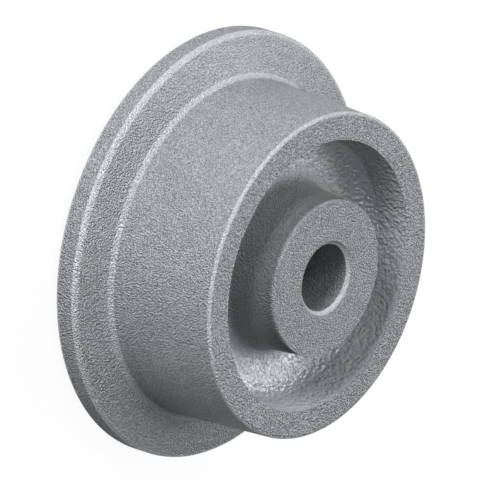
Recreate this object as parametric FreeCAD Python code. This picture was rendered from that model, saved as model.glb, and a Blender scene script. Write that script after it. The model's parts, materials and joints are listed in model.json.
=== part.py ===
import FreeCAD, Part
import math
import os

# Flanged track wheel of grey cast iron, one casting, in millimetres.
# The wheel's axis is Z. It stands on the back end of its hub at Z = 0, so the flange is low and the
# rim face is high. The whole form is one section, turned about the axis.

# Hub and bore
bore_diameter = 20.0
bore_chamfer = 1.0
hub_wall = 13.1
hub_draft = 5.0
hub_stand_front = 2.8
hub_stand_back = 2.2

# Wheel body: the width runs from the flange's back to the rim face
wheel_width = 45.0
tread_diameter = 100.0
gauge_line_from_back = 14.0
tread_taper = 3.0
tread_end_radius = 0.8

# Flange
flange_diameter = 127.0
flange_edge_thickness = 7.4
flange_face_angle = 9.0
flange_edge_radius = 1.2
flange_root_radius = 2.4

# Rim, as a ring round the two recesses
rim_front_wall = 8.15
rim_back_wall = 21.5
rim_draft_front = 10.0
rim_draft_back = 8.0

# Web: dished, so that it lies deeper at the hub than at the rim, and even in thickness
front_recess_depth = 14.1
web_dish = 1.9
web_thickness = 9.0
web_fillet_radius = 4.4

# The longest share of a straight run that one rounded corner may use, so that two never meet
longest_share_of_run = 0.49


def slope(angle):
    """Sideways step for each millimetre along, at this angle in degrees."""
    return math.tan(math.radians(angle))


def section_corners():
    """Corners of the half section, as (radius from the axis, height, rounding), once round."""
    bore = bore_diameter / 2
    hub = bore + hub_wall
    flange = flange_diameter / 2
    flange_back = hub_stand_back
    rim_face = flange_back + wheel_width
    hub_face = rim_face + hub_stand_front

    # The tread is a cone that is widest at the flange, and the flange's front is a flatter cone
    gauge_line = flange_back + gauge_line_from_back
    taper = slope(tread_taper)
    lean = slope(flange_face_angle)
    flange_edge = flange_back + flange_edge_thickness
    tread_end = tread_diameter / 2 - (rim_face - gauge_line) * taper
    root_reach = tread_diameter / 2 + (gauge_line - flange_edge - flange * lean) * taper
    root = root_reach / (1 - taper * lean)
    root_height = flange_edge + (flange - root) * lean

    # Heights of the web's two faces, where they meet the rim and the hub
    front_at_rim = rim_face - front_recess_depth
    front_at_hub = front_at_rim - web_dish
    back_at_rim = front_at_rim - web_thickness
    back_at_hub = front_at_hub - web_thickness

    # Every wall of a recess leans out by its draft, so that the mould draws off
    rim_front = tread_end - rim_front_wall
    rim_back = flange - rim_back_wall
    hub_lean = slope(hub_draft)
    hub_front_foot = hub + (hub_face - front_at_hub) * hub_lean
    hub_back_foot = hub + back_at_hub * hub_lean
    rim_front_foot = rim_front - (rim_face - front_at_rim) * slope(rim_draft_front)
    rim_back_foot = rim_back - (back_at_rim - flange_back) * slope(rim_draft_back)

    return [
        (bore, bore_chamfer, 0),
        (bore + bore_chamfer, 0, 0),
        (hub, 0, 0),
        (hub_back_foot, back_at_hub, web_fillet_radius),
        (rim_back_foot, back_at_rim, web_fillet_radius),
        (rim_back, flange_back, 0),
        (flange, flange_back, flange_edge_radius),
        (flange, flange_edge, flange_edge_radius),
        (root, root_height, flange_root_radius),
        (tread_end, rim_face, tread_end_radius),
        (rim_front, rim_face, 0),
        (rim_front_foot, front_at_rim, web_fillet_radius),
        (hub_front_foot, front_at_hub, web_fillet_radius),
        (hub, hub_face, 0),
        (bore + bore_chamfer, hub_face, 0),
        (bore, hub_face - bore_chamfer, 0),
    ]


def rounded_corner(before, corner, after, radius):
    """First, middle and last point of the arc that rounds a corner between two straight runs."""
    to_before = before - corner
    to_after = after - corner
    half_angle = to_before.getAngle(to_after) / 2
    shorter_run = min(to_before.Length, to_after.Length)
    reach = min(radius / math.tan(half_angle), shorter_run * longest_share_of_run)
    to_before.normalize()
    to_after.normalize()
    inward = to_before + to_after
    inward.normalize()
    centre_distance = reach / math.cos(half_angle)
    arc_radius = reach * math.tan(half_angle)
    middle = corner + inward * (centre_distance - arc_radius)
    return corner + to_before * reach, middle, corner + to_after * reach


def section_face():
    """The half section as a face in the XZ plane, with straight runs and true arcs."""
    corners = section_corners()
    points = [FreeCAD.Vector(reach, 0, height) for reach, height, _ in corners]
    arcs = []
    for index, (_, _, radius) in enumerate(corners):
        corner = points[index]
        if radius > 0:
            following = points[(index + 1) % len(points)]
            arcs.append(rounded_corner(points[index - 1], corner, following, radius))
        else:
            arcs.append((corner, corner, corner))

    edges = []
    for index, (first, middle, last) in enumerate(arcs):
        if first != last:
            edges.append(Part.Arc(first, middle, last).toShape())
        following = arcs[(index + 1) % len(arcs)][0]
        edges.append(Part.makeLine(last, following))
    return Part.Face(Part.Wire(edges))


def flanged_wheel():
    """The casting: its section turned once about the axis."""
    axis_point = FreeCAD.Vector(0, 0, 0)
    axis = FreeCAD.Vector(0, 0, 1)
    return section_face().revolve(axis_point, axis, 360)


os.makedirs("parts", exist_ok=True)
flanged_wheel().exportStep("parts/flanged_wheel.step")
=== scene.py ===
"""A flanged track wheel of grey cast iron, standing on the back end of its hub in a plain pale studio."""

import json
import logging
import math
from dataclasses import dataclass
from enum import Enum
from typing import Any

import bpy
from mathutils import Matrix, Vector


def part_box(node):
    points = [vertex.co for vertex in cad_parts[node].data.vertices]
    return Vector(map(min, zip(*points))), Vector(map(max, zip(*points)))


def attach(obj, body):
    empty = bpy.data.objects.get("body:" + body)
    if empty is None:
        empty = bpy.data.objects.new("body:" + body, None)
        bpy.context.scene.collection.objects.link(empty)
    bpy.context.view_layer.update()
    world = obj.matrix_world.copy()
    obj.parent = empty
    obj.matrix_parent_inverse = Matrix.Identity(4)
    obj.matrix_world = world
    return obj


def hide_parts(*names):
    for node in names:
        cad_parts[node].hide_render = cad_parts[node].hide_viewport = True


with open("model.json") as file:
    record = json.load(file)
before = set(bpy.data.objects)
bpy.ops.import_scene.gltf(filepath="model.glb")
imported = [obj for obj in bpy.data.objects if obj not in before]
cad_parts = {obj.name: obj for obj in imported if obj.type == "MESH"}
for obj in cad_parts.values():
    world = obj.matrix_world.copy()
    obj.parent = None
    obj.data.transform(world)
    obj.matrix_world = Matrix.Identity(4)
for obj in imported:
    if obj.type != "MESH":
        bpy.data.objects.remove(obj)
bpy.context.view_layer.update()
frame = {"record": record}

Colour = tuple[float, float, float, float]

MM = 0.001

# What the frame and the record call the wheel, and what it rides on
NODE = "flanged_wheel"
BODY = "root"

# The marks that the mesh keeps for the finish
SKIN = "cast_skin"
WEB = "web_front"

# Every noise runs from nought to one about this value
NOISE_MEAN = 0.5

# A Mix node's colour sockets go by place, because its other kinds share their names
MIX_LOW = 6
MIX_HIGH = 7
MIX_RESULT = 2

log = logging.getLogger("track_wheel")


class Kind(Enum):
    """What a field holds at each point, in the words that the nodes use."""

    NUMBER = "FLOAT"
    PLACE = "VECTOR"


class Wire:
    """One output socket of a node, with the arithmetic that is written on it."""

    def __init__(self, sheet: "NodeSheet", socket: bpy.types.NodeSocket) -> None:
        """Keeps the socket and its sheet.

        Args:
            sheet: The node sheet that holds the socket's node.
            socket: The output socket itself.
        """
        self.sheet = sheet
        self.socket = socket

    def sibling(self, name: str) -> "Wire":
        """Gives another output of the same node, by its name."""
        return Wire(self.sheet, self.socket.node.outputs[name])

    def __add__(self, other: "Wire | float") -> "Wire":
        """The sum of two values."""
        return self.sheet.math("ADD", self, other)

    def __radd__(self, other: float) -> "Wire":
        """The sum of a number and this value."""
        return self.sheet.math("ADD", other, self)

    def __sub__(self, other: "Wire | float") -> "Wire":
        """This value less another."""
        return self.sheet.math("SUBTRACT", self, other)

    def __rsub__(self, other: float) -> "Wire":
        """A number less this value."""
        return self.sheet.math("SUBTRACT", other, self)

    def __mul__(self, other: "Wire | float") -> "Wire":
        """The product of two values."""
        return self.sheet.math("MULTIPLY", self, other)

    def __rmul__(self, other: float) -> "Wire":
        """The product of a number and this value."""
        return self.sheet.math("MULTIPLY", other, self)

    def __truediv__(self, other: "Wire | float") -> "Wire":
        """This value over another."""
        return self.sheet.math("DIVIDE", self, other)

    def __rtruediv__(self, other: float) -> "Wire":
        """A number over this value."""
        return self.sheet.math("DIVIDE", other, self)

    def __gt__(self, other: "Wire | float") -> "Wire":
        """One where this value is above the other, and nought elsewhere."""
        return self.sheet.math("GREATER_THAN", self, other)

    def __lt__(self, other: "Wire | float") -> "Wire":
        """One where this value is below the other, and nought elsewhere."""
        return self.sheet.math("LESS_THAN", self, other)


class NodeSheet:
    """A node tree, with one way to add any node to it."""

    def __init__(self, tree: bpy.types.NodeTree) -> None:
        """Keeps the tree that is filled."""
        self.tree = tree

    def add(
        self,
        kind: str,
        settings: dict[str, Any] | None = None,
        sockets: dict[str | int, Any] | None = None,
        output: str | int = 0,
    ) -> Wire:
        """Adds one node.

        Args:
            kind: The node's type.
            settings: The node's own settings, which are set before its sockets.
            sockets: A value or a wire for each input, by name or by place.
            output: The output to give back, by name or by place.

        Returns:
            The chosen output.
        """
        node = self.tree.nodes.new(kind)
        for name, value in (settings or {}).items():
            setattr(node, name, value)
        for key, value in (sockets or {}).items():
            self.feed(node.inputs[key], value)
        return Wire(self, node.outputs[output])

    def feed(self, socket: bpy.types.NodeSocket, value: Any) -> None:
        """Gives an input its link, or the plain value that it holds itself.

        Args:
            socket: The input socket.
            value: A wire or a plain value.
        """
        if isinstance(value, Wire):
            self.tree.links.new(value.socket, socket)
        else:
            socket.default_value = value

    def math(self, operation: str, first: Wire | float, second: Wire | float) -> Wire:
        """Adds a Math node.

        Args:
            operation: The node's operation.
            first: The first number or wire.
            second: The second number or wire.

        Returns:
            The result.
        """
        return self.add("ShaderNodeMath", {"operation": operation}, {0: first, 1: second})

    def vector(self, operation: str, sockets: dict[str | int, Any], output: str | int = 0) -> Wire:
        """Adds a Vector Math node.

        Args:
            operation: The node's operation.
            sockets: A value or a wire for each input that the operation reads.
            output: The output to give back, by name or by place.

        Returns:
            The result.
        """
        return self.add("ShaderNodeVectorMath", {"operation": operation}, sockets, output)

    def parts(self, place: Wire) -> tuple[Wire, Wire, Wire]:
        """Splits a vector.

        Args:
            place: The vector.

        Returns:
            Its X, Y and Z.
        """
        x = self.add("ShaderNodeSeparateXYZ", sockets={0: place})
        return x, x.sibling("Y"), x.sibling("Z")

    def reach(self, place: Wire) -> Wire:
        """Gives a point's distance from the wheel's axis.

        Args:
            place: The point.

        Returns:
            The distance, in metres.
        """
        flat = self.vector("MULTIPLY", {0: place, 1: (1.0, 1.0, 0.0)})
        return self.vector("LENGTH", {0: flat}, output="Value")

    def noise(self, place: Wire, lump: Wire | float, seed: Wire | float, detail: float = 0.0) -> Wire:
        """Adds a noise that is read in space.

        Args:
            place: The point.
            lump: The size of one lump, in metres.
            seed: The draw.
            detail: How many finer octaves lie on it.

        Returns:
            The noise, from nought to one.
        """
        scale = 1.0 / lump
        sockets = {"Vector": place, "W": seed, "Scale": scale, "Detail": detail}
        return self.add("ShaderNodeTexNoise", {"noise_dimensions": "4D"}, sockets)

    def ramp(
        self,
        value: Wire,
        low: Wire | float,
        high: Wire | float,
        first: Wire | float = 0.0,
        last: Wire | float = 1.0,
    ) -> Wire:
        """Maps a stretch of values smoothly onto another stretch.

        Args:
            value: The value that is read.
            low: Where the stretch starts.
            high: Where the stretch ends.
            first: The result at the start.
            last: The result at the end.

        Returns:
            The mapped value.
        """
        settings = {"interpolation_type": "SMOOTHSTEP", "clamp": True}
        return self.add("ShaderNodeMapRange", settings, {0: value, 1: low, 2: high, 3: first, 4: last})

    def tint(self, share: Wire, low: Wire | Colour, high: Wire | Colour) -> Wire:
        """Mixes two colours.

        Args:
            share: How much of the second colour is used, from nought to one.
            low: The first colour.
            high: The second colour.

        Returns:
            The mixed colour.
        """
        settings = {"data_type": "RGBA", "clamp_factor": True}
        sockets = {0: share, MIX_LOW: low, MIX_HIGH: high}
        return self.add("ShaderNodeMix", settings, sockets, MIX_RESULT)

    def end(self, kind: str, socket: str, result: Wire) -> None:
        """Adds the tree's output node.

        Args:
            kind: The node's type.
            socket: The input that takes the result.
            result: What the tree makes.
        """
        node = self.tree.nodes.new(kind)
        self.feed(node.inputs[socket], result)


def empty_material(name: str) -> tuple[bpy.types.Material, NodeSheet]:
    """Starts a material.

    Args:
        name: The material's name.

    Returns:
        The material, and its tree with nothing in it.
    """
    made = bpy.data.materials.new(name)
    made.use_nodes = True
    made.node_tree.nodes.clear()
    return made, NodeSheet(made.node_tree)


def slope(angle: float) -> float:
    """The sideways step for each step along, at this angle in degrees."""
    return math.tan(math.radians(angle))


@dataclass(frozen=True)
class Corner:
    """One corner of the half section, as numbers in metres or as wires of a tree."""

    reach: Wire | float
    height: Wire | float
    radius: Wire | float


@dataclass(frozen=True)
class Rounding(Corner):
    """A corner that is rubbed bright, with a painted highlight, and how bright."""

    share: float


@dataclass(frozen=True)
class Walls:
    """Where the finish changes, in metres: each is a reach from the axis or a height.

    The foot is how much further out the hub's side ends at the web than at its top.
    """

    bore: float
    hub: float
    foot: float
    web: float
    top: float
    rim_face: float
    tread_end: float
    flange_edge: float


@dataclass(frozen=True)
class IronFinish:
    """Bare grey cast iron, blasted clean, with the mould's sandy grain, painted shade in the bore and on the
    hub's side, and the roundings rubbed bright with a painted highlight.
    """

    # The blasted iron, its pits, the skin of the recesses, the painted shade of the bore and the hub's side,
    # and the worn roundings with their painted highlight
    colour: Colour = (0.45, 0.464, 0.488, 1.0)
    pit_colour: Colour = (0.21, 0.216, 0.227, 1.0)
    skin_colour: Colour = (0.34, 0.35, 0.366, 1.0)
    # Painted shade: the dark colour put on the bore's wall and the hub's side, which also darkens the tread
    shade_and_tread_colour: Colour = (0.12, 0.124, 0.13, 1.0)
    # Worn roundings with a painted highlight, painted sheen on the web's front, and painted light on the
    # flange's face
    wear_and_highlight_colour: Colour = (0.62, 0.635, 0.66, 1.0)

    # How it shines: only what is rubbed shines as metal
    rubbed_metallic: float = 0.7
    roughness: float = 0.5
    roughness_spread: float = 0.2
    specular: float = 0.05

    # The sandy grain, the specks of the pits, the pebbles and the broad clouds, each with its own draw
    grain: float = 0.5 * MM
    grain_depth: float = 1.2 * MM
    grain_seed: float = 2.0
    speck: float = 0.28 * MM
    speck_spread: float = 0.12
    speck_seed: float = 5.0
    pebble: float = 1.2 * MM
    pebble_depth: float = 1.3 * MM
    pebble_detail: float = 1.0
    pebble_seed: float = 3.0
    cloud: float = 9.0 * MM
    cloud_share: float = 0.1
    cloud_detail: float = 2.0
    cloud_seed: float = 4.0

    # How strong each mark is, as a share
    rubbed_depth: float = 0.8
    pitted_share: float = 0.3
    skin_share: float = 0.75
    foot_shade: float = 0.5
    bore_shade: float = 0.55
    tread_tone: float = 0.18
    flange_painted_light: float = 0.24

    # How soft the marks' edges are
    rub_margin: float = 0.3 * MM
    shade_margin: float = 0.15 * MM
    flange_margin: float = 1.6 * MM

    # A fade ends this many times as far away as it starts
    fade: float = 2.0

    def painted_shade(self, sheet: NodeSheet, place: Wire, walls: Walls) -> Wire:
        """Marks where shade is painted into the colour: the bore's wall, and the hub's side, most of all at
        its top.

        Args:
            sheet: The material's tree.
            place: The point.
            walls: Where the finish changes.

        Returns:
            One where shade is painted, and nought elsewhere.
        """
        reach = sheet.reach(place)
        _, _, height = sheet.parts(place)
        half_way_down = (walls.top - walls.web) / 2
        outside = sheet.ramp(reach - walls.hub, 0.0, self.shade_margin)
        beside = sheet.ramp(reach - walls.hub, walls.foot, walls.foot * self.fade, 1.0, 0.0)
        down = sheet.ramp(walls.top - height, 0.0, half_way_down, 1.0, self.foot_shade)
        bore = sheet.ramp(reach - walls.bore, self.shade_margin, 0.0, 0.0, self.bore_shade)
        return sheet.math("MAXIMUM", outside * beside * down, bore)

    def tread_toned_flange_lit(self, sheet: NodeSheet, place: Wire, walls: Walls, colour: Wire) -> Wire:
        """Tones the outer faces: the tread and the flange's edge darker, and the flange's face brighter as
        painted light.

        Args:
            sheet: The material's tree.
            place: The point.
            walls: Where the finish changes.
            colour: The blasted iron's colour.

        Returns:
            The toned colour.
        """
        reach = sheet.reach(place)
        _, _, height = sheet.parts(place)
        past_tread = reach - walls.tread_end
        below_rim = sheet.ramp(walls.rim_face - height, 0.0, self.rub_margin)
        outside = sheet.ramp(past_tread, -self.rub_margin * self.fade, -self.rub_margin)
        beyond = sheet.ramp(past_tread, self.flange_margin, self.flange_margin * self.fade)
        on_flange = beyond * (height > walls.flange_edge)
        on_tread = below_rim * outside * (1 - on_flange)
        colour = sheet.tint(on_tread * self.tread_tone, colour, self.shade_and_tread_colour)
        # Painted light: the flange's face is brightened towards the highlight colour
        return sheet.tint(on_flange * self.flange_painted_light, colour, self.wear_and_highlight_colour)

    def wear_and_sheen(self, sheet: NodeSheet, place: Wire, roundings: list[Rounding], web: Wire) -> Wire:
        """Marks what is rubbed bright and painted with a highlight: every rounding, and the front of the
        web, whose painted sheen grows from the hub towards the rim.

        Args:
            sheet: The material's tree.
            place: The point.
            roundings: The corners that are rubbed.
            web: The mark on the front of the web.

        Returns:
            One where the highlight is painted, and nought elsewhere.
        """
        reach = sheet.reach(place)
        _, _, height = sheet.parts(place)
        bright = web
        for corner in roundings:
            steps = {0: reach - corner.reach, 1: height - corner.height}
            aside = sheet.add("ShaderNodeCombineXYZ", sockets=steps)
            depth = corner.radius - sheet.vector("LENGTH", {0: aside}, output="Value")
            near = sheet.ramp(depth, -self.rub_margin, self.rub_margin, 0.0, corner.share)
            bright = sheet.math("MAXIMUM", bright, near)
        return bright

    def material(self, roundings: list[Rounding], walls: Walls) -> bpy.types.Material:
        """Builds the material.

        Args:
            roundings: The corners that are rubbed.
            walls: Where the finish changes.

        Returns:
            The finished material.
        """
        made, sheet = empty_material("grey_cast_iron")
        place = sheet.add("ShaderNodeTexCoord", output="Object")
        skin = sheet.add("ShaderNodeAttribute", {"attribute_name": SKIN}, output="Fac")
        web = sheet.add("ShaderNodeAttribute", {"attribute_name": WEB}, output="Fac")
        grain = sheet.noise(place, self.grain, self.grain_seed)
        speck = sheet.noise(place, self.speck, self.speck_seed)
        pebble = sheet.noise(place, self.pebble, self.pebble_seed, self.pebble_detail)
        cloud = sheet.noise(place, self.cloud, self.cloud_seed, self.cloud_detail)

        clouded = speck + (cloud - NOISE_MEAN) * self.cloud_share
        proud = sheet.ramp(clouded, NOISE_MEAN - self.speck_spread, NOISE_MEAN + self.speck_spread)
        pitted = (1 - proud) * (1 - skin) * self.pitted_share
        wear_and_sheen = self.wear_and_sheen(sheet, place, roundings, web) * (1 - pitted)
        colour = sheet.tint(proud, self.pit_colour, self.colour)
        # The tread and the flange's edge darker, and painted light on the flange's face
        colour = self.tread_toned_flange_lit(sheet, place, walls, colour)
        colour = sheet.tint(skin * self.skin_share, colour, self.skin_colour)
        # Painted shade on the bore's wall and on the hub's side, most of all at its top
        colour = sheet.tint(self.painted_shade(sheet, place, walls), colour, self.shade_and_tread_colour)
        # Wear with a painted highlight on the roundings, and a painted sheen on the web's front
        colour = sheet.tint(wear_and_sheen, colour, self.wear_and_highlight_colour)

        smoothed = sheet.math("MAXIMUM", wear_and_sheen * self.rubbed_depth, skin * self.skin_share)
        grain_height = grain * (1 - smoothed) * self.grain_depth
        height = grain_height + pebble * skin * self.pebble_depth
        bump = sheet.add("ShaderNodeBump", sockets={"Strength": 1.0, "Distance": 1.0, "Height": height})
        sockets = {
            "Base Color": colour,
            "Metallic": wear_and_sheen * self.rubbed_metallic,
            "Roughness": self.roughness + (NOISE_MEAN - grain) * self.roughness_spread,
            "Specular IOR Level": self.specular,
            "Normal": bump,
        }
        surface = sheet.add("ShaderNodeBsdfPrincipled", sockets=sockets)
        sheet.end("ShaderNodeOutputMaterial", "Surface", surface)
        return made


@dataclass(frozen=True)
class WheelSizes:
    """The wheel's driving sizes, in millimetres and degrees, as its maker would list them."""

    bore_chamfer: float = 1.0
    hub_wall: float = 13.1
    hub_draft: float = 5.0
    hub_stand_front: float = 2.8
    hub_stand_back: float = 2.2
    tread_diameter: float = 100.0
    gauge_line_from_back: float = 14.0
    tread_taper: float = 3.0
    tread_end_radius: float = 0.8
    flange_edge_thickness: float = 7.4
    flange_face_angle: float = 9.0
    flange_edge_radius: float = 1.2
    flange_root_radius: float = 2.4
    rim_front_wall: float = 8.15
    rim_back_wall: float = 21.5
    rim_draft_front: float = 10.0
    rim_draft_back: float = 8.0
    front_recess_depth: float = 14.1
    web_dish: float = 1.9
    web_thickness: float = 9.0
    web_fillet_radius: float = 4.4


@dataclass
class TurnedCasting:
    """The wheel: one section turned about the axis, with its pebbled skin."""

    sizes: WheelSizes
    finish: IronFinish
    bore_radius: float
    flange_radius: float
    hub_length: float

    # How finely the section is turned and divided
    steps_round: int = 440
    least_arc_steps: int = 3
    arc_step: float = 0.8 * MM
    fine_run: float = 0.42 * MM
    plain_run: float = 3.4 * MM
    sharp_edge: float = 25.0

    # The raised skin of the recesses, and the swell of the rest
    skin_seed: float = 4.0
    pebble: float = 1.3 * MM
    pebble_detail: float = 1.0
    pebble_height: float = 0.75 * MM
    web_pebbles: float = 0.9
    hub_pebbles: float = 0.2
    smooth_foot: float = 6.0 * MM
    recess_edge: float = 0.6 * MM
    web_edge: float = 2.5 * MM
    swell: float = 6.0 * MM
    swell_height: float = 0.03 * MM

    # What is rubbed bright with a painted highlight, and how bright, as a share
    rubbed_root: float = 1.4 * MM
    edge_share: float = 0.68
    root_share: float = 0.5
    front_share: float = 1.0

    def inputs(self) -> dict[str, float]:
        """The sizes that the tree takes by name, in metres, with each angle as its slope.

        Returns:
            A value for each named input.
        """
        sizes = self.sizes
        return {
            "Bore Radius": self.bore_radius,
            "Bore Chamfer": sizes.bore_chamfer * MM,
            "Hub Wall": sizes.hub_wall * MM,
            "Hub Draft": slope(sizes.hub_draft),
            "Hub Length": self.hub_length,
            "Hub Stand Front": sizes.hub_stand_front * MM,
            "Hub Stand Back": sizes.hub_stand_back * MM,
            "Tread Radius": sizes.tread_diameter / 2 * MM,
            "Gauge Line From Back": sizes.gauge_line_from_back * MM,
            "Tread Taper": slope(sizes.tread_taper),
            "Tread End Radius": sizes.tread_end_radius * MM,
            "Flange Radius": self.flange_radius,
            "Flange Edge Thickness": sizes.flange_edge_thickness * MM,
            "Flange Face Slope": slope(sizes.flange_face_angle),
            "Flange Edge Radius": sizes.flange_edge_radius * MM,
            "Flange Root Radius": sizes.flange_root_radius * MM,
            "Rim Front Wall": sizes.rim_front_wall * MM,
            "Rim Back Wall": sizes.rim_back_wall * MM,
            "Rim Draft Front": slope(sizes.rim_draft_front),
            "Rim Draft Back": slope(sizes.rim_draft_back),
            "Front Recess Depth": sizes.front_recess_depth * MM,
            "Web Dish": sizes.web_dish * MM,
            "Web Thickness": sizes.web_thickness * MM,
            "Web Fillet Radius": sizes.web_fillet_radius * MM,
            "Arc Step": self.arc_step,
            "Fine Run": self.fine_run,
            "Plain Run": self.plain_run,
            "Skin Seed": self.skin_seed,
            "Pebble": self.pebble,
            "Pebble Height": self.pebble_height,
            "Web Pebbles": self.web_pebbles,
            "Hub Pebbles": self.hub_pebbles,
            "Smooth Foot": self.smooth_foot,
            "Swell": self.swell,
            "Swell Height": self.swell_height,
            "Recess Edge": self.recess_edge,
            "Web Edge": self.web_edge,
        }

    def section_corners(self, size: dict[str, Any]) -> dict[str, Corner]:
        """Works out the half section's corners, once round.

        Args:
            size: The tree's named inputs, or the values that they are given.

        Returns:
            Each corner by its name, in order.
        """
        bore = size["Bore Radius"]
        chamfer = size["Bore Chamfer"]
        hub = bore + size["Hub Wall"]
        flange = size["Flange Radius"]
        flange_back = size["Hub Stand Back"]
        hub_face = size["Hub Length"]
        rim_face = hub_face - size["Hub Stand Front"]

        # The tread is a cone that is widest at the flange, and the flange's front is a flatter cone
        gauge_line = flange_back + size["Gauge Line From Back"]
        taper = size["Tread Taper"]
        lean = size["Flange Face Slope"]
        flange_edge = flange_back + size["Flange Edge Thickness"]
        tread_end = size["Tread Radius"] - (rim_face - gauge_line) * taper
        root_reach = size["Tread Radius"] + (gauge_line - flange_edge - flange * lean) * taper
        root = root_reach / (1 - taper * lean)
        root_height = flange_edge + (flange - root) * lean

        # Heights of the web's two faces, where they meet the rim and the hub
        front_at_rim = rim_face - size["Front Recess Depth"]
        front_at_hub = front_at_rim - size["Web Dish"]
        back_at_rim = front_at_rim - size["Web Thickness"]
        back_at_hub = front_at_hub - size["Web Thickness"]

        # Every wall of a recess leans out by its draft, so that the mould draws off
        rim_front = tread_end - size["Rim Front Wall"]
        rim_back = flange - size["Rim Back Wall"]
        hub_front_foot = hub + (hub_face - front_at_hub) * size["Hub Draft"]
        hub_back_foot = hub + back_at_hub * size["Hub Draft"]
        rim_front_foot = rim_front - (rim_face - front_at_rim) * size["Rim Draft Front"]
        rim_back_foot = rim_back - (back_at_rim - flange_back) * size["Rim Draft Back"]

        web_fillet = size["Web Fillet Radius"]
        flange_rounding = size["Flange Edge Radius"]
        return {
            "bore_back": Corner(bore, chamfer, 0.0),
            "chamfer_back": Corner(bore + chamfer, 0.0, 0.0),
            "hub_back": Corner(hub, 0.0, 0.0),
            "hub_back_foot": Corner(hub_back_foot, back_at_hub, web_fillet),
            "rim_back_foot": Corner(rim_back_foot, back_at_rim, web_fillet),
            "rim_back": Corner(rim_back, flange_back, 0.0),
            "flange_back": Corner(flange, flange_back, flange_rounding),
            "flange_front": Corner(flange, flange_edge, flange_rounding),
            "root": Corner(root, root_height, size["Flange Root Radius"]),
            "tread_end": Corner(tread_end, rim_face, size["Tread End Radius"]),
            "rim_front": Corner(rim_front, rim_face, 0.0),
            "rim_front_foot": Corner(rim_front_foot, front_at_rim, web_fillet),
            "hub_front_foot": Corner(hub_front_foot, front_at_hub, web_fillet),
            "hub_front": Corner(hub, hub_face, 0.0),
            "chamfer_front": Corner(bore + chamfer, hub_face, 0.0),
            "bore_front": Corner(bore, hub_face - chamfer, 0.0),
        }

    def pick(self, sheet: NodeSheet, kind: Kind, values: list[Any]) -> Wire:
        """Adds a node that picks one of several values by a point's own index.

        Args:
            sheet: The tree.
            kind: What is picked.
            values: The values, in order.

        Returns:
            The picked value.
        """
        index = sheet.add("GeometryNodeInputIndex")
        picked = sheet.add("GeometryNodeIndexSwitch", {"data_type": kind.value})
        node = picked.socket.node
        while len(node.index_switch_items) < len(values):
            node.index_switch_items.new()
        sheet.feed(node.inputs["Index"], index)
        for place, value in enumerate(values, start=1):
            sheet.feed(node.inputs[place], value)
        return Wire(sheet, node.outputs[0])

    def section_curve(self, sheet: NodeSheet, size: dict[str, Wire]) -> Wire:
        """Draws the closed half section, with its corners rounded.

        The sweep lays the section's X outwards from its circle, and its Y downwards.

        Args:
            sheet: The tree.
            size: The tree's named inputs.

        Returns:
            The section as a curve. X is the reach past the bore's wall, and Y is the height below the floor.
        """
        corners = self.section_corners(size).values()
        places = []
        for corner in corners:
            across_and_down = {0: corner.reach - size["Bore Radius"], 1: 0.0 - corner.height}
            places.append(sheet.add("ShaderNodeCombineXYZ", sockets=across_and_down))
        line = sheet.add("GeometryNodeCurvePrimitiveLine")
        counted = {"Curve": line, "Count": len(corners)}
        line = sheet.add("GeometryNodeResampleCurve", {"mode": "COUNT"}, counted)
        place = self.pick(sheet, Kind.PLACE, places)
        line = sheet.add("GeometryNodeSetPosition", sockets={"Geometry": line, "Position": place})
        loop = sheet.add("GeometryNodeSetSplineCyclic", sockets={"Geometry": line, "Cyclic": True})
        rounding = self.pick(sheet, Kind.NUMBER, [corner.radius for corner in corners])
        steps = rounding / size["Arc Step"] + self.least_arc_steps
        sockets = {"Curve": loop, "Count": steps, "Radius": rounding, "Limit Radius": True}
        return sheet.add("GeometryNodeFilletCurve", {"mode": "POLY"}, sockets)

    def divided_curve(self, sheet: NodeSheet, size: dict[str, Wire], curve: Wire) -> Wire:
        """Divides the section's runs, finely in the recess that shows its pebbled skin.

        Args:
            sheet: The tree.
            size: The tree's named inputs.
            curve: The rounded section.

        Returns:
            The divided section.
        """
        here = sheet.add("GeometryNodeInputPosition")
        index = sheet.add("GeometryNodeInputIndex")
        step = {"Point Index": index, "Offset": 1}
        following = sheet.add("GeometryNodeOffsetPointInCurve", sockets=step, output="Point Index")
        read = {0: here, 1: following}
        there = sheet.add("GeometryNodeFieldAtIndex", {"data_type": "FLOAT_VECTOR"}, read)
        run = sheet.vector("DISTANCE", {0: here, 1: there}, output="Value")
        both = sheet.vector("ADD", {0: here, 1: there})
        middle = sheet.vector("SCALE", {0: both, "Scale": 0.5})
        wall, drop, _ = sheet.parts(middle)
        half_way_up = size["Hub Length"] / -2
        rim = size["Tread Radius"] - size["Rim Front Wall"] - size["Bore Radius"]
        recess = (wall > size["Hub Wall"]) * (wall < rim) * (drop < half_way_up)
        spacing = size["Plain Run"] + recess * (size["Fine Run"] - size["Plain Run"])
        return sheet.add("GeometryNodeSubdivideCurve", sockets={"Curve": curve, "Cuts": run / spacing})

    def turned(self, sheet: NodeSheet, size: dict[str, Wire], curve: Wire) -> Wire:
        """Turns the section about the axis.

        Args:
            sheet: The tree.
            size: The tree's named inputs.
            curve: The divided section.

        Returns:
            The turned form as a closed mesh, smooth but for its sharp edges.
        """
        sockets = {"Resolution": self.steps_round, "Radius": size["Bore Radius"]}
        circle = sheet.add("GeometryNodeCurvePrimitiveCircle", {"mode": "RADIUS"}, sockets)
        circle = sheet.add("GeometryNodeSetCurveNormal", {"mode": "Z_UP"}, {"Curve": circle})
        mesh = sheet.add("GeometryNodeCurveToMesh", sockets={"Curve": circle, "Profile Curve": curve})
        mesh = sheet.add("GeometryNodeFlipFaces", sockets={"Mesh": mesh})
        smooth = {"Geometry": mesh, "Shade Smooth": True}
        mesh = sheet.add("GeometryNodeSetShadeSmooth", {"domain": "FACE"}, smooth)
        bend = sheet.add("GeometryNodeInputMeshEdgeAngle") > math.radians(self.sharp_edge)
        sharp = {"Geometry": mesh, "Selection": bend, "Shade Smooth": False}
        return sheet.add("GeometryNodeSetShadeSmooth", {"domain": "EDGE"}, sharp)

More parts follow.
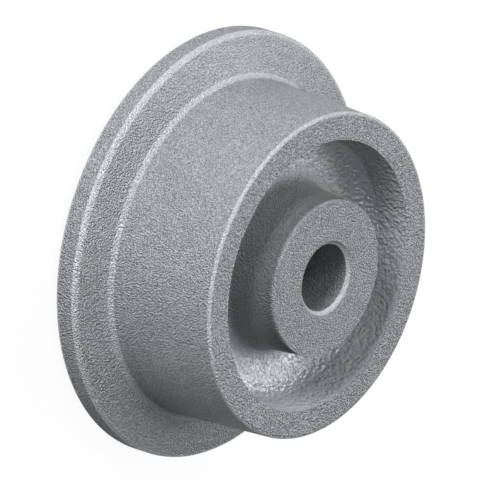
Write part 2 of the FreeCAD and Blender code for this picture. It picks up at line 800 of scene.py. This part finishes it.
    def skinned(self, sheet: NodeSheet, size: dict[str, Wire], mesh: Wire) -> Wire:
        """Raises the skin: pebbles in the two recesses, and a faint swell on all but the hub and the bore.

        Args:
            sheet: The tree.
            size: The tree's named inputs.
            mesh: The turned form.

        Returns:
            The mesh with its skin, and the recesses and the web marked for the finish.
        """
        place = sheet.add("GeometryNodeInputPosition")
        normal = sheet.add("GeometryNodeInputNormal")
        reach = sheet.reach(place)
        _, _, height = sheet.parts(place)
        edge = size["Recess Edge"]
        rim_face = size["Hub Length"] - size["Hub Stand Front"]
        rim_wall = size["Flange Radius"] - size["Rim Back Wall"]
        hub_side = size["Bore Radius"] + size["Hub Wall"]
        past_hub = sheet.ramp(reach, hub_side, hub_side + edge)
        recess = (
            past_hub
            * sheet.ramp(rim_wall - reach, 0.0, edge)
            * sheet.ramp(rim_face - height, 0.0, edge)
            * sheet.ramp(height - size["Hub Stand Back"], 0.0, edge)
        )
        web = self.web_front(sheet, size, reach, height)
        coarse = sheet.ramp(reach, hub_side, hub_side + size["Smooth Foot"], size["Hub Pebbles"])
        skin = recess * coarse * (1 - web * (1 - size["Web Pebbles"]))
        mesh = self.marked(sheet, mesh, SKIN, skin)
        mesh = self.marked(sheet, mesh, WEB, web)
        seed = size["Skin Seed"]
        pebbles = sheet.noise(place, size["Pebble"], seed, self.pebble_detail) - NOISE_MEAN
        swell = sheet.noise(place, size["Swell"], seed) - NOISE_MEAN
        raised = pebbles * size["Pebble Height"] * skin
        swollen = swell * size["Swell Height"] * past_hub
        offset = sheet.vector("SCALE", {0: normal, "Scale": raised + swollen})
        return sheet.add("GeometryNodeSetPosition", sockets={"Geometry": mesh, "Offset": offset})

    def marked(self, sheet: NodeSheet, mesh: Wire, name: str, value: Wire) -> Wire:
        """Keeps a mark on the mesh, for the finish to read.

        Args:
            sheet: The tree.
            mesh: The mesh.
            name: The mark's name.
            value: How strong the mark is at each point, from nought to one.

        Returns:
            The marked mesh.
        """
        kept = {"data_type": "FLOAT", "domain": "POINT"}
        sockets = {"Geometry": mesh, "Name": name, "Value": value}
        return sheet.add("GeometryNodeStoreNamedAttribute", kept, sockets)

    def roundings(self) -> list[Rounding]:
        """Lists the rounded corners and the bore's front chamfer, worked out from the sizes themselves.

        Returns:
            The corners that are rubbed bright, with a painted highlight.
        """
        corners = self.section_corners(self.inputs())
        shares = {
            "hub_back_foot": self.edge_share,
            "rim_back_foot": self.edge_share,
            "flange_back": self.edge_share,
            "flange_front": self.edge_share,
            "tread_end": self.edge_share,
            "rim_front_foot": self.front_share,
        }
        wear_and_sheen = []
        for name, share in shares.items():
            corner = corners[name]
            wear_and_sheen.append(Rounding(corner.reach, corner.height, corner.radius, share))
        root = corners["root"]
        wear_and_sheen.append(Rounding(root.reach, root.height, self.rubbed_root, self.root_share))
        mouth = corners["bore_front"]
        chamfer = self.sizes.bore_chamfer * MM
        wear_and_sheen.append(Rounding(mouth.reach, mouth.height + chamfer, chamfer, self.front_share))
        return wear_and_sheen

    def walls(self) -> Walls:
        """Works out where the finish changes, from the sizes themselves.

        Returns:
            The reach or the height of each wall and face that the finish tells apart.
        """
        corners = self.section_corners(self.inputs())
        foot = corners["hub_front_foot"]
        hub = corners["hub_front"]
        tread_end = corners["tread_end"]
        return Walls(
            bore=self.bore_radius,
            hub=hub.reach,
            foot=foot.reach - hub.reach,
            web=foot.height,
            top=hub.height,
            rim_face=tread_end.height,
            tread_end=tread_end.reach,
            flange_edge=corners["flange_front"].height,
        )

    def web_front(self, sheet: NodeSheet, size: dict[str, Wire], reach: Wire, height: Wire) -> Wire:
        """Marks the front of the web, from the hub's foot to the rim's.

        Args:
            sheet: The tree.
            size: The tree's named inputs.
            reach: The point's distance from the axis.
            height: The point's height.

        Returns:
            One on the front of the web, and nought elsewhere.
        """
        corners = self.section_corners(size)
        rim_foot = corners["rim_front_foot"]
        hub_foot = corners["hub_front_foot"]
        above_web = rim_foot.height + size["Web Fillet Radius"]
        level = (height < above_web) * (height > hub_foot.height)
        half_way = (hub_foot.reach + rim_foot.reach) / 2
        from_hub = sheet.ramp(reach, hub_foot.reach, half_way)
        return level * from_hub * sheet.ramp(rim_foot.reach - reach, 0.0, size["Web Edge"])

    def build(self) -> bpy.types.Object:
        """Builds the tree, with a named input for each size, and evaluates it.

        Returns:
            The casting as a plain mesh object.
        """
        tree = bpy.data.node_groups.new("turned_casting", "GeometryNodeTree")
        sockets = {}
        for name, value in self.inputs().items():
            socket = tree.interface.new_socket(name, in_out="INPUT", socket_type="NodeSocketFloat")
            socket.default_value = value
            sockets[name] = socket.identifier
        tree.interface.new_socket("Mesh", in_out="OUTPUT", socket_type="NodeSocketGeometry")
        sheet = NodeSheet(tree)
        first = tree.nodes.new("NodeGroupInput")
        size = {name: Wire(sheet, first.outputs[name]) for name in sockets}
        curve = self.divided_curve(sheet, size, self.section_curve(sheet, size))
        mesh = self.skinned(sheet, size, self.turned(sheet, size, curve))
        mesh = sheet.add("GeometryNodeRealizeInstances", sockets={"Geometry": mesh})
        material = self.finish.material(self.roundings(), self.walls())
        mesh = sheet.add("GeometryNodeSetMaterial", sockets={"Geometry": mesh, "Material": material})
        sheet.end("NodeGroupOutput", "Mesh", mesh)
        return self.evaluated(tree, sockets)

    def evaluated(self, tree: bpy.types.NodeTree, sockets: dict[str, str]) -> bpy.types.Object:
        """Evaluates the tree on an object of its own, which goes with its modifiers once the mesh is kept.

        Args:
            tree: The tree.
            sockets: The identifier of each named input.

        Returns:
            The casting as a plain mesh object.
        """
        maker = bpy.data.objects.new("casting_maker", bpy.data.meshes.new("casting_maker"))
        bpy.context.scene.collection.objects.link(maker)
        modifier = maker.modifiers.new("turned_casting", "NODES")
        modifier.node_group = tree
        for name, value in self.inputs().items():
            modifier[sockets[name]] = value
        even = maker.modifiers.new("flats_stay_flat", "WEIGHTED_NORMAL")
        even.mode = "FACE_AREA"
        even.keep_sharp = True
        graph = bpy.context.evaluated_depsgraph_get()
        mesh = bpy.data.meshes.new_from_object(maker.evaluated_get(graph), depsgraph=graph)
        bpy.data.objects.remove(maker)
        casting = bpy.data.objects.new("wheel_casting", mesh)
        bpy.context.scene.collection.objects.link(casting)
        return casting


@dataclass(frozen=True)
class FloorFinish:
    """A pale studio floor, which the camera and reflections see as white, with a faint shadow."""

    colour: Colour = (0.5, 0.5, 0.5, 1.0)
    white: float = 1.1
    white_share: float = 0.85

    def material(self) -> bpy.types.Material:
        """Builds the material.

        Returns:
            The finished material.
        """
        made, sheet = empty_material("pale_floor")
        made.cycles.emission_sampling = "NONE"
        ray = sheet.add("ShaderNodeLightPath", output="Is Camera Ray")
        seen = ray + ray.sibling("Is Glossy Ray") + ray.sibling("Is Transmission Ray")
        lit = sheet.add("ShaderNodeBsdfDiffuse", sockets={"Color": self.colour})
        white = sheet.add("ShaderNodeEmission", sockets={"Strength": self.white})
        above = sheet.add("ShaderNodeMixShader", sockets={0: seen * self.white_share, 1: lit, 2: white})
        below = sheet.add("ShaderNodeBsdfTransparent")
        under = sheet.add("ShaderNodeNewGeometry", output="Backfacing")
        surface = sheet.add("ShaderNodeMixShader", sockets={0: under, 1: above, 2: below})
        sheet.end("ShaderNodeOutputMaterial", "Surface", surface)
        return made


@dataclass(frozen=True)
class SoftBox:
    """A rectangular soft lamp that faces the wheel, in degrees, metres and watts."""

    name: str
    azimuth: float
    elevation: float
    distance: float
    width: float
    height: float
    power: float

    def place(self, target: Vector) -> bpy.types.Object:
        """Hangs the lamp.

        Args:
            target: The point that the lamp faces.

        Returns:
            The lamp.
        """
        data = bpy.data.lights.new(self.name, "AREA")
        data.shape = "RECTANGLE"
        data.size = self.width
        data.size_y = self.height
        data.energy = self.power
        lamp = bpy.data.objects.new(self.name, data)
        bpy.context.scene.collection.objects.link(lamp)
        around, up = math.radians(self.azimuth), math.radians(self.elevation)
        out = Vector((math.cos(around) * math.cos(up), math.sin(around) * math.cos(up), math.sin(up)))
        lamp.location = target + out * self.distance
        lamp.rotation_euler = out.to_track_quat("Z", "Y").to_euler()
        return lamp


@dataclass
class Studio:
    """The floor, the lamps and the even light round the wheel."""

    lamps: tuple[SoftBox, ...]
    floor_finish: FloorFinish
    ambient: float = 0.02
    floor_radius: float = 1.5
    floor_gap: float = 0.02 * MM

    def build(self, target: Vector) -> bpy.types.Object:
        """Builds the studio.

        Args:
            target: The middle of the wheel.

        Returns:
            The floor.
        """
        world = bpy.data.worlds.new("studio_light")
        bpy.context.scene.world = world
        world.use_nodes = True
        world.node_tree.nodes.clear()
        sheet = NodeSheet(world.node_tree)
        light = sheet.add("ShaderNodeBackground", sockets={"Strength": self.ambient})
        sheet.end("ShaderNodeOutputWorld", "Surface", light)
        for lamp in self.lamps:
            lamp.place(target)
        return self.floor()

    def floor(self) -> bpy.types.Object:
        """Lays the floor.

        Returns:
            The floor, as a square sheet.
        """
        reach = self.floor_radius
        sides = ((-1, -1), (1, -1), (1, 1), (-1, 1))
        corners = [(x * reach, y * reach, -self.floor_gap) for x, y in sides]
        mesh = bpy.data.meshes.new("floor")
        mesh.from_pydata(corners, [], [(0, 1, 2, 3)])
        mesh.materials.append(self.floor_finish.material())
        floor = bpy.data.objects.new("floor", mesh)
        bpy.context.scene.collection.objects.link(floor)
        return floor


@dataclass(frozen=True)
class PhotoCamera:
    """A far camera with a long lens, rolled so that the wheel looks as if it stands on its edge.

    The angles are in degrees and the lens in millimetres, and the rest is in metres.
    """

    elevation: float = 37.037
    roll: float = 107.43
    distance: float = 3.4419
    aim_right: float = -0.02261
    aim_up: float = 0.01037
    lens: float = 900.0
    clip_end: float = 10.0

    def place(self, target: Vector) -> bpy.types.Object:
        """Sets the camera.

        Args:
            target: The middle of the rim's face.

        Returns:
            The camera, as the scene's own.
        """
        data = bpy.data.cameras.new("photo_camera")
        data.lens = self.lens
        data.clip_end = self.clip_end
        camera = bpy.data.objects.new("photo_camera", data)
        bpy.context.scene.collection.objects.link(camera)
        up = math.radians(self.elevation)
        back = Vector((0.0, -math.cos(up), math.sin(up)))
        level = back.to_track_quat("Z", "Y").to_matrix()
        turned = level @ Matrix.Rotation(math.radians(self.roll), 3, "Z")
        right, above, away = turned.transposed()
        camera.rotation_euler = turned.to_euler()
        camera.location = target + right * self.aim_right + above * self.aim_up + away * self.distance
        bpy.context.scene.camera = camera
        return camera


LAMPS = (
    SoftBox("key_box", 247.0, 7.0, 1.0, 0.4, 0.34, 11.6),
    SoftBox("side_box", 196.0, 35.0, 1.0, 1.4, 0.9, 0.9),
    SoftBox("recess_box", 222.0, 40.0, 1.0, 0.4, 0.3, 2.8),
    SoftBox("front_top_box", 280.0, 64.0, 1.0, 0.5, 0.5, 1.9),
    SoftBox("front_fill", 296.0, 26.0, 1.0, 0.5, 0.4, 0.8),
    SoftBox("back_box", 105.0, 47.0, 1.0, 0.4, 0.4, 3.5),
    SoftBox("far_side_box", 126.0, 40.0, 1.0, 0.4, 0.3, 2.3),
    SoftBox("fillet_box", 162.0, 42.0, 1.0, 0.25, 0.25, 1.8),
)


def main() -> None:
    """Builds the wheel, the studio and the camera, and reports each."""
    logging.basicConfig(level=logging.INFO, format="%(name)s: %(message)s")
    scene = bpy.context.scene
    scene.view_settings.view_transform = "Standard"
    low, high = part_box(NODE)
    mounts = {mount["name"]: mount for mount in frame["record"]["mounts"]}
    bore_radius = mounts["bore"]["dims"]["r_mm"] * MM
    sizes = WheelSizes()
    casting = TurnedCasting(sizes, IronFinish(), bore_radius, flange_radius=high.x, hub_length=high.z)
    wheel = casting.build()
    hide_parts(NODE)
    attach(wheel, BODY)
    log.info("%s: %d faces", wheel.name, len(wheel.data.polygons))

    floor = Studio(LAMPS, FloorFinish()).build((low + high) / 2)
    log.info("%s: under %d lamps", floor.name, len(LAMPS))
    rim_face = Vector((0.0, 0.0, high.z - sizes.hub_stand_front * MM))
    camera = PhotoCamera().place(rim_face)
    log.info("%s: lens %.0f mm", camera.name, camera.data.lens)


if __name__ == "__main__":
    main()
